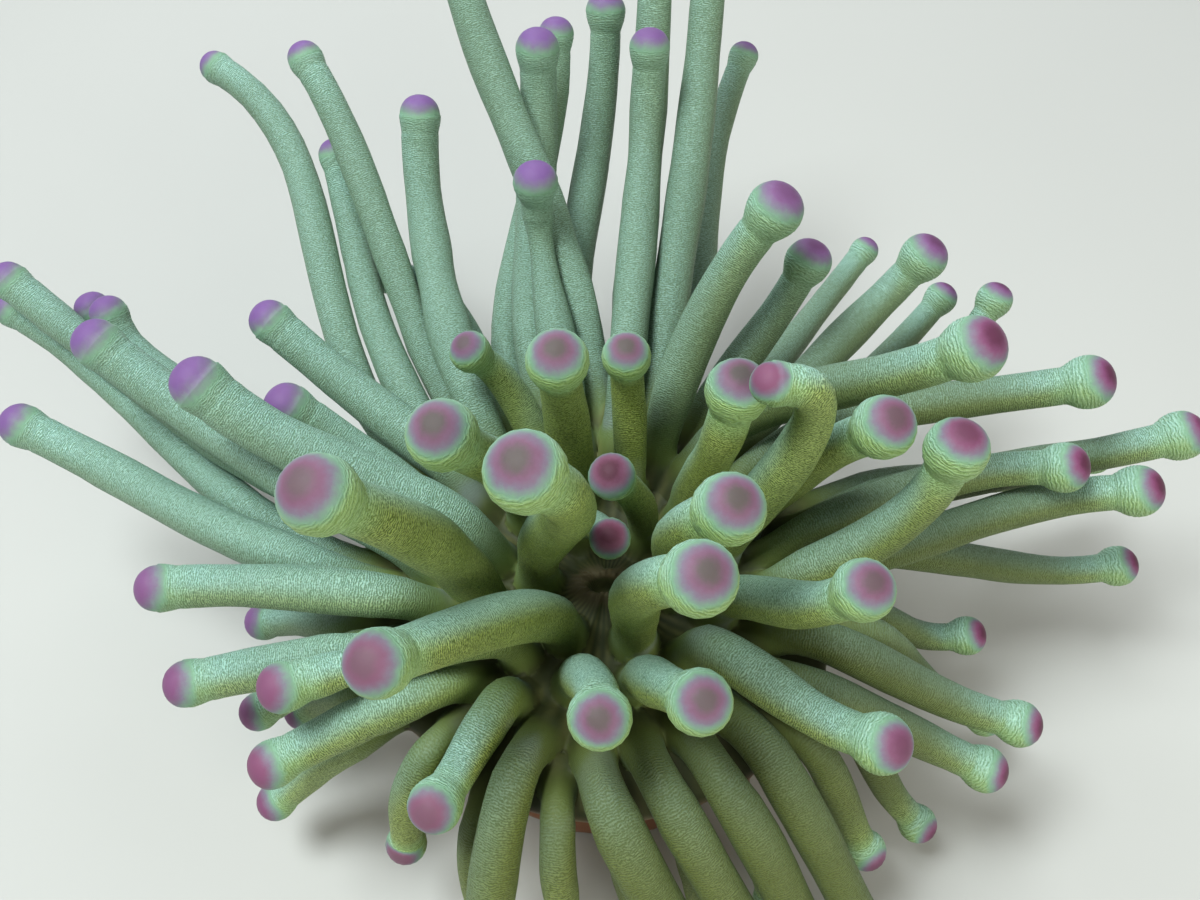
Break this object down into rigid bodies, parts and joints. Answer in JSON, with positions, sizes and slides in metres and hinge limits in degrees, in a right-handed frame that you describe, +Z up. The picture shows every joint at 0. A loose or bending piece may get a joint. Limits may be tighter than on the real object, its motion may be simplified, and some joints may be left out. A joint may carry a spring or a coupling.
{
  "type": "sea anemone",
  "caption": "Life-size still model of a giant Caribbean sea anemone: flat foot, smooth column, slit mouth and a full crown of knob-tipped tentacles, spread to feed.",
  "frame": {"origin": "centre of the foot's flat underside", "axes": "+Z up the column towards the mouth, +X to the right and +Y to the back of the camera's view"},
  "size_m": [0.3457, 0.2959, 0.1689],
  "materials": {
    "tentacle": "moist, finely wrinkled flesh",
    "tentacle_tip": "moist, smooth knob with a pink cap",
    "oral_disc": "moist, faintly ridged flesh",
    "lips": "moist, smooth flesh",
    "column": "moist, smooth flesh",
    "foot": "moist, creased flesh"
  },
  "bodies": {
    "root": {"column_lower": "column", "column_upper": "column", "crown_sextant_1": "tentacle", "crown_sextant_2": "tentacle", "crown_sextant_3": "tentacle", "crown_sextant_4": "tentacle", "crown_sextant_5": "tentacle", "crown_sextant_6": "tentacle", "mouth_lips": "lips", "oral_disc": "oral_disc", "pedal_disc": "foot", "tentacle_1_1_shaft": "tentacle", "tentacle_1_1_tip": "tentacle_tip", "tentacle_1_2": "tentacle", "tentacle_1_3": "tentacle", "tentacle_1_4": "tentacle", "tentacle_1_5_shaft": "tentacle", "tentacle_1_5_tip": "tentacle_tip", "tentacle_1_6_shaft": "tentacle", "tentacle_1_6_tip": "tentacle_tip", "tentacle_2_1": "tentacle", "tentacle_2_10": "tentacle", "tentacle_2_11_shaft": "tentacle", "tentacle_2_11_tip": "tentacle_tip", "tentacle_2_12": "tentacle", "tentacle_2_2": "tentacle", "tentacle_2_3": "tentacle", "tentacle_2_4_shaft": "tentacle", "tentacle_2_4_tip": "tentacle_tip", "tentacle_2_5_shaft": "tentacle", "tentacle_2_5_tip": "tentacle_tip", "tentacle_2_6": "tentacle", "tentacle_2_7": "tentacle", "tentacle_2_8": "tentacle", "tentacle_2_9": "tentacle", "tentacle_3_10": "tentacle", "tentacle_3_11": "tentacle", "tentacle_3_12": "tentacle", "tentacle_3_13": "tentacle", "tentacle_3_14": "tentacle", "tentacle_3_15": "tentacle", "tentacle_3_16": "tentacle", "tentacle_3_17": "tentacle", "tentacle_3_18": "tentacle", "tentacle_3_19": "tentacle", "tentacle_3_1_shaft": "tentacle", "tentacle_3_1_tip": "tentacle_tip", "tentacle_3_2": "tentacle", "tentacle_3_20": "tentacle", "tentacle_3_21": "tentacle", "tentacle_3_22": "tentacle", "tentacle_3_23": "tentacle", "tentacle_3_24": "tentacle", "tentacle_3_3": "tentacle", "tentacle_3_4": "tentacle", "tentacle_3_5": "tentacle", "tentacle_3_6": "tentacle", "tentacle_3_7": "tentacle", "tentacle_3_8": "tentacle", "tentacle_3_9": "tentacle"}
  },
  "joints": []
}
